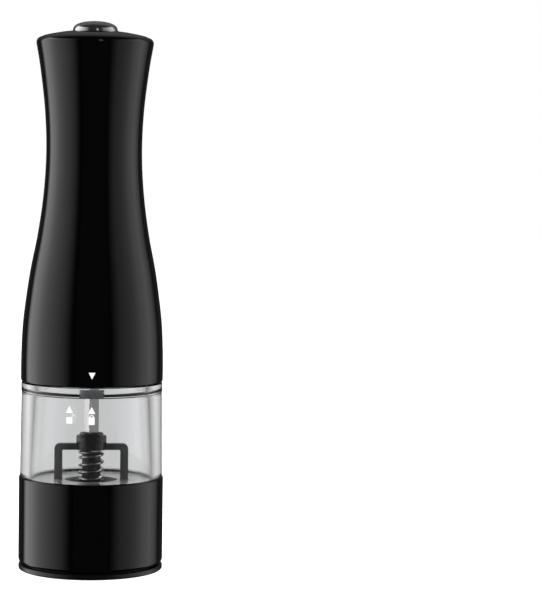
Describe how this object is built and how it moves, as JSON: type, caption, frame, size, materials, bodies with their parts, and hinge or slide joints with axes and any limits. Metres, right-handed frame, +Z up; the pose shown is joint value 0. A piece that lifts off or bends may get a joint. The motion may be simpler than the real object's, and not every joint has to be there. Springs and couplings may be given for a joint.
{
  "type": "pepper mill",
  "caption": "Battery-driven pepper mill with a waisted gloss black body, top push button, clear container, sprung grinder and lid.",
  "frame": {"origin": "centre of the lid's underside, where the mill stands", "axes": "+Z up along the mill's axis, -Y towards the lock marks, the pictured front"},
  "size_m": [0.0582, 0.0582, 0.22],
  "materials": {
    "gloss_black": "high gloss moulded plastic",
    "satin_black": "satin moulded plastic",
    "clear_plastic": "clear moulded plastic",
    "ceramic": "unglazed technical ceramic",
    "polished_steel": "polished",
    "white_plastic": "moulded acetal",
    "grey_plastic": "moulded acetal",
    "brass": "machined",
    "silicone": "matt translucent silicone",
    "cell_sleeve": "shrink sleeve",
    "red_lead": "insulated wire",
    "black_lead": "insulated wire"
  },
  "bodies": {
    "base": {"lower_sleeve": "gloss_black", "container": "clear_plastic", "container_floor": "clear_plastic", "grinder_housing": "satin_black", "stator_ring": "ceramic", "retaining_ring": "polished_steel", "grinder_bridge": "satin_black", "bridge_screw_left": "polished_steel", "bridge_screw_right": "polished_steel"},
    "lid": {"lid": "satin_black"},
    "seal": {"seal_ring": "silicone"},
    "head": {"chassis_base": "satin_black", "ring_gear": "white_plastic", "gearbox_cover": "satin_black", "gearbox_screw_1": "polished_steel", "gearbox_screw_2": "polished_steel", "gearbox_screw_3": "polished_steel", "motor_can": "polished_steel", "motor_end_bell": "white_plastic", "motor_cradle": "satin_black", "battery_holder": "satin_black", "battery_1": "cell_sleeve", "battery_2": "cell_sleeve", "battery_3": "cell_sleeve", "battery_4": "cell_sleeve", "contact_spring_1": "polished_steel", "contact_spring_2": "polished_steel", "contact_spring_3": "polished_steel", "contact_spring_4": "polished_steel", "bottom_contact_front": "polished_steel", "bottom_contact_back": "polished_steel", "top_contact_bridge": "polished_steel", "top_terminal_front": "polished_steel", "top_terminal_back": "polished_steel", "lead_red": "red_lead", "lead_black": "black_lead", "switch_body": "satin_black"},
    "shell": {"upper_shell": "gloss_black", "button_guide": "satin_black", "button_spring": "polished_steel"},
    "button": {"push_button": "polished_steel"},
    "plunger": {"switch_plunger": "white_plastic"},
    "output": {"carrier_2": "white_plastic", "output_coupler": "grey_plastic"},
    "carrier": {"carrier_1": "white_plastic"},
    "motor_rotor": {"motor_pinion": "brass", "motor_shaft": "polished_steel"},
    "shaft": {"drive_shaft": "polished_steel", "grinder_spring": "polished_steel"},
    "rotor": {"rotor_cone": "ceramic", "rotor_stem": "satin_black"},
    "knob": {"adjust_knob": "satin_black"},
    "planet_1_a": {"planet_1_a": "white_plastic"},
    "planet_1_b": {"planet_1_b": "white_plastic"},
    "planet_1_c": {"planet_1_c": "white_plastic"},
    "planet_2_a": {"planet_2_a": "white_plastic"},
    "planet_2_b": {"planet_2_b": "white_plastic"},
    "planet_2_c": {"planet_2_c": "white_plastic"}
  },
  "joints": [
    {"name": "lid_slide", "type": "slide", "parent": "base", "child": "lid", "axis": [0, 0, -1], "range_m": [0, 0.03]},
    {"name": "head_twist", "type": "hinge", "parent": "base", "child": "seal", "pos_m": [0, 0, 0.082], "axis": [0, 0, 1], "range_deg": [-18, 0]},
    {"name": "head_lift", "type": "slide", "parent": "seal", "child": "head", "axis": [0, 0, 1], "range_m": [0, 0.05]},
    {"name": "shell_pull", "type": "slide", "parent": "head", "child": "shell", "axis": [0, 0, 1], "range_m": [0, 0.12]},
    {"name": "button_press", "type": "slide", "parent": "shell", "child": "button", "axis": [0, 0, -1], "range_m": [0, 0.002], "stiffness_N_per_m": 900, "springref_m": -0.001, "deforming": ["button_spring"]},
    {"name": "plunger_travel", "type": "slide", "parent": "head", "child": "plunger", "axis": [0, 0, -1], "range_m": [0, 0.002]},
    {"name": "output_spin", "type": "hinge", "parent": "head", "child": "output", "pos_m": [0, 0, 0.083], "axis": [0, 0, 1], "continuous": true},
    {"name": "carrier_spin", "type": "hinge", "parent": "head", "child": "carrier", "pos_m": [0, 0, 0.094], "axis": [0, 0, 1], "continuous": true},
    {"name": "motor_spin", "type": "hinge", "parent": "head", "child": "motor_rotor", "pos_m": [0, 0, 0.1], "axis": [0, 0, 1], "continuous": true},
    {"name": "rotor_spin", "type": "hinge", "parent": "base", "child": "shaft", "pos_m": [0, 0, 0.045], "axis": [0, 0, 1], "continuous": true},
    {"name": "grind_gap", "type": "slide", "parent": "shaft", "child": "rotor", "axis": [0, 0, -1], "range_m": [0, 0.0008], "deforming": ["grinder_spring"]},
    {"name": "adjust_turn", "type": "hinge", "parent": "rotor", "child": "knob", "pos_m": [0, 0, 0.006], "axis": [0, 0, 1], "range_deg": [0, 270]},
    {"name": "planet_1_a_spin", "type": "hinge", "parent": "carrier", "child": "planet_1_a", "pos_m": [0.0081, 0, 0.097], "axis": [0, 0, 1], "continuous": true},
    {"name": "planet_1_b_spin", "type": "hinge", "parent": "carrier", "child": "planet_1_b", "pos_m": [-0.00405, 0.00701, 0.097], "axis": [0, 0, 1], "continuous": true},
    {"name": "planet_1_c_spin", "type": "hinge", "parent": "carrier", "child": "planet_1_c", "pos_m": [-0.00405, -0.00701, 0.097], "axis": [0, 0, 1], "continuous": true},
    {"name": "planet_2_a_spin", "type": "hinge", "parent": "output", "child": "planet_2_a", "pos_m": [0.0081, 0, 0.09], "axis": [0, 0, 1], "continuous": true},
    {"name": "planet_2_b_spin", "type": "hinge", "parent": "output", "child": "planet_2_b", "pos_m": [-0.00405, 0.00701, 0.09], "axis": [0, 0, 1], "continuous": true},
    {"name": "planet_2_c_spin", "type": "hinge", "parent": "output", "child": "planet_2_c", "pos_m": [-0.00405, -0.00701, 0.09], "axis": [0, 0, 1], "continuous": true}
  ],
  "couplings": [
    {"joint": "plunger_travel", "follows": "button_press", "ratio": 1},
    {"joint": "carrier_spin", "follows": "output_spin", "ratio": 4.5},
    {"joint": "motor_spin", "follows": "output_spin", "ratio": 20.25},
    {"joint": "rotor_spin", "follows": "output_spin", "ratio": 1},
    {"joint": "adjust_turn", "follows": "grind_gap", "rad_per_m": 5890.4},
    {"joint": "planet_1_a_spin", "follows": "output_spin", "ratio": -12.6},
    {"joint": "planet_1_b_spin", "follows": "output_spin", "ratio": -12.6},
    {"joint": "planet_1_c_spin", "follows": "output_spin", "ratio": -12.6},
    {"joint": "planet_2_a_spin", "follows": "output_spin", "ratio": -2.8},
    {"joint": "planet_2_b_spin", "follows": "output_spin", "ratio": -2.8},
    {"joint": "planet_2_c_spin", "follows": "output_spin", "ratio": -2.8}
  ]
}
